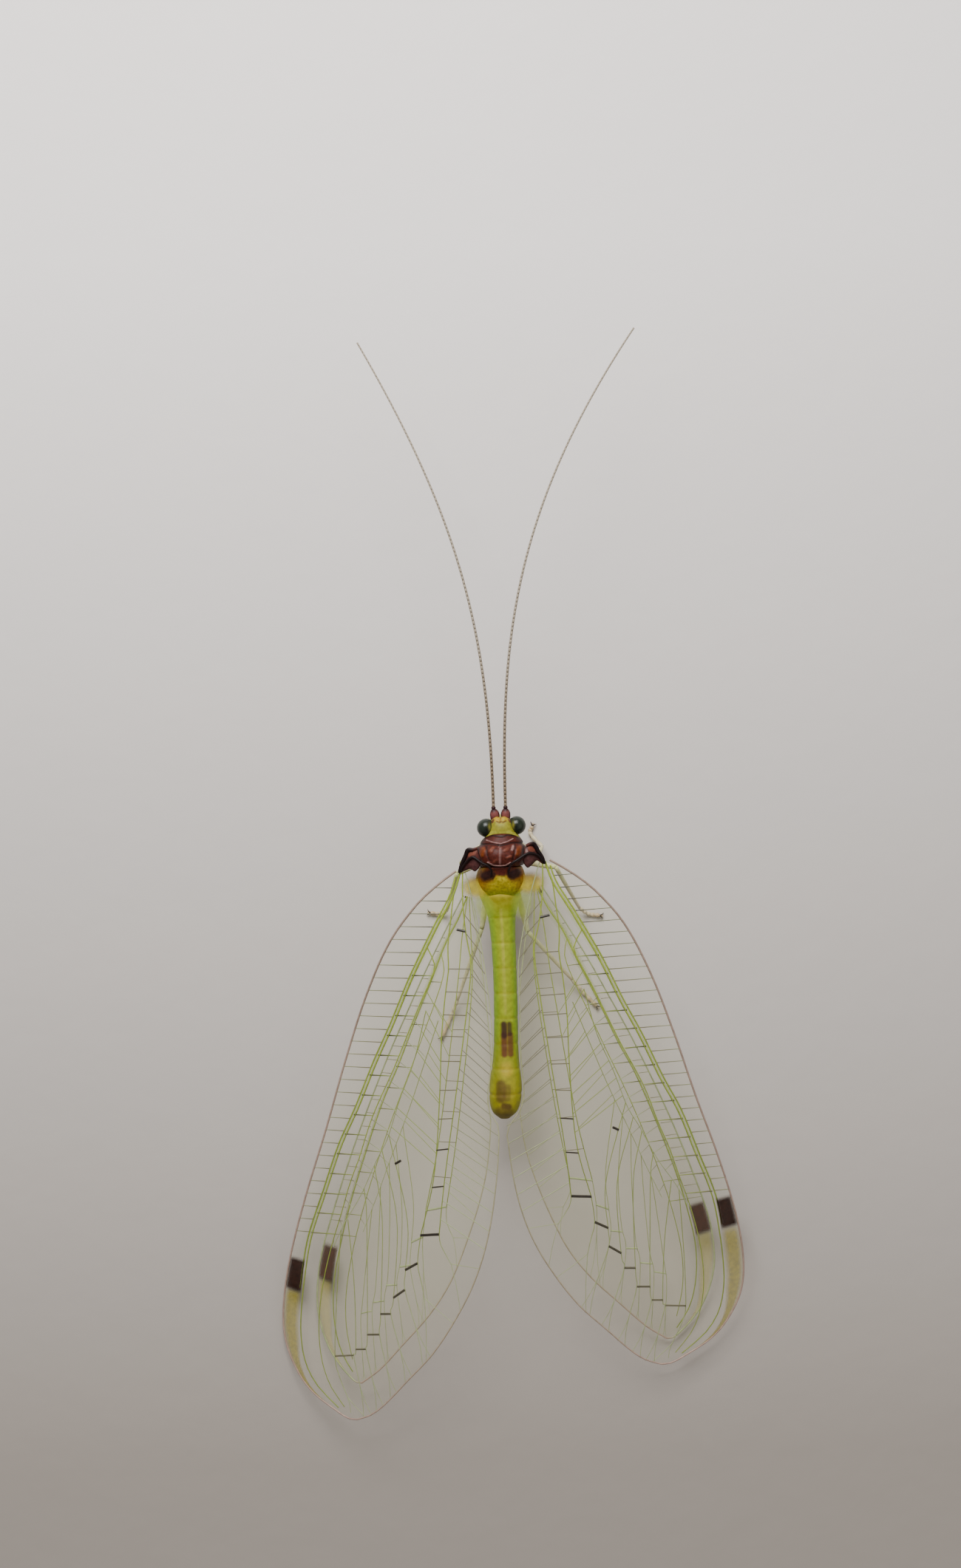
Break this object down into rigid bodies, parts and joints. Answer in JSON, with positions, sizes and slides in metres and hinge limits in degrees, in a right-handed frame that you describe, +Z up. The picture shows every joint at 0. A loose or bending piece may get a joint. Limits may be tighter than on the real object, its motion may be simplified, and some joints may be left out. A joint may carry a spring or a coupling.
{
  "type": "green lacewing model",
  "caption": "Life-size still model of a green lacewing at rest, long feelers forward, clear net-veined wings half spread over a slim yellow-green abdomen",
  "frame": {"origin": "centre of the bounding box in plan, at floor level, where the feet stand", "axes": "+Y towards the head and feeler tips, +X towards the insect's right side, +Z up off the floor"},
  "size_m": [0.0174, 0.04, 0.005],
  "materials": {
    "head": "satin",
    "eye": "gloss",
    "mouthparts": "satin",
    "scape": "satin",
    "feeler": "matte",
    "dark_thorax": "satin",
    "yellow_thorax": "satin",
    "abdomen": "satin",
    "wing": "gloss",
    "leg": "satin"
  },
  "bodies": {
    "root": {"head_capsule": "head", "clypeus_labrum": "head", "eye_left": "eye", "mandible_left": "mouthparts", "palps_left": "mouthparts", "scape_left": "scape", "flagellum_base_left": "feeler", "flagellum_middle_left": "feeler", "flagellum_tip_left": "feeler", "forewing_left": "wing", "hindwing_left": "wing", "eye_right": "eye", "mandible_right": "mouthparts", "palps_right": "mouthparts", "scape_right": "scape", "flagellum_base_right": "feeler", "flagellum_middle_right": "feeler", "flagellum_tip_right": "feeler", "forewing_right": "wing", "hindwing_right": "wing", "pronotum": "dark_thorax", "mesothorax": "dark_thorax", "metathorax": "yellow_thorax", "abdomen_1": "abdomen", "abdomen_2": "abdomen", "abdomen_3": "abdomen", "abdomen_4": "abdomen", "abdomen_5": "abdomen", "abdomen_6": "abdomen", "abdomen_7": "abdomen", "abdomen_8": "abdomen", "abdomen_tip": "abdomen", "coxa_fore_left": "leg", "femur_fore_left": "leg", "tibia_fore_left": "leg", "tarsus_fore_left": "leg", "coxa_fore_right": "leg", "femur_fore_right": "leg", "tibia_fore_right": "leg", "tarsus_fore_right": "leg", "coxa_mid_left": "leg", "femur_mid_left": "leg", "tibia_mid_left": "leg", "tarsus_mid_left": "leg", "coxa_mid_right": "leg", "femur_mid_right": "leg", "tibia_mid_right": "leg", "tarsus_mid_right": "leg", "coxa_hind_left": "leg", "femur_hind_left": "leg", "tibia_hind_left": "leg", "tarsus_hind_left": "leg", "coxa_hind_right": "leg", "femur_hind_right": "leg", "tibia_hind_right": "leg", "tarsus_hind_right": "leg"}
  },
  "joints": []
}
